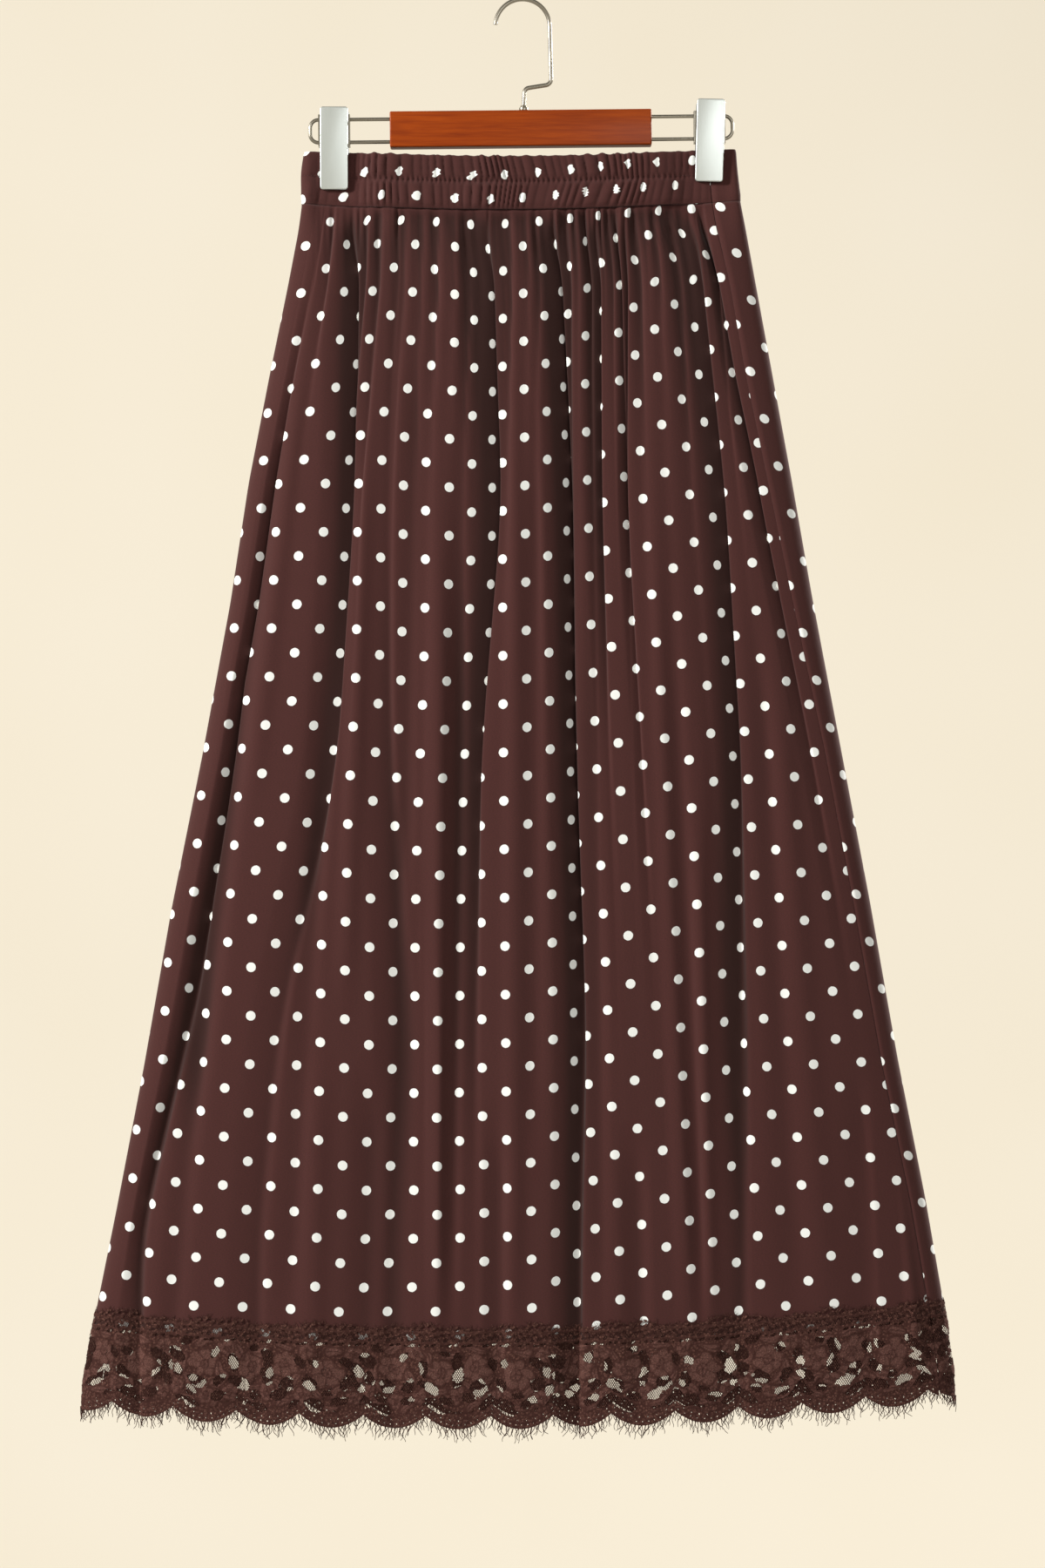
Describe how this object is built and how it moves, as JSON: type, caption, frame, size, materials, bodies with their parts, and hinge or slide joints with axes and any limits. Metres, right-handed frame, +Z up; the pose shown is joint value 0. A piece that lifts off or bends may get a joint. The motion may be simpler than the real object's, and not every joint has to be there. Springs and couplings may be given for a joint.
{
  "type": "maxi skirt on a clip hanger",
  "caption": "Ankle-length A-line skirt with a gathered elastic waistband and a scalloped lace hem, hung from a wooden clip hanger.",
  "frame": {"origin": "inner top of the hook, where it sits on a rail", "axes": "+Z up along the skirt's length; the front of the skirt faces -Y; +X to the right seen from the front"},
  "size_m": [0.6938, 0.0486, 1.1418],
  "materials": {
    "printed_cloth": "matte woven viscose, white dots on brown",
    "lace": "matte corded lace, brown",
    "varnished_wood": "clear varnish over red-brown stain",
    "steel_wire": "drawn wire, satin nickel",
    "clip_plate": "pressed sheet, satin plating"
  },
  "bodies": {
    "root": {"skirt_front": "printed_cloth", "skirt_back": "printed_cloth", "waistband_front": "printed_cloth", "waistband_back": "printed_cloth", "lace_front": "lace", "lace_back": "lace", "lash_fringe_front": "lace", "lash_fringe_back": "lace", "hanger_bar": "varnished_wood", "wire_loop_left": "steel_wire", "wire_loop_right": "steel_wire", "hook": "steel_wire", "hook_ferrule": "steel_wire", "clip_slide_left": "steel_wire", "clip_slide_right": "steel_wire", "clip_front_left": "clip_plate", "clip_back_left": "clip_plate", "clip_front_right": "clip_plate", "clip_back_right": "clip_plate"}
  },
  "joints": []
}
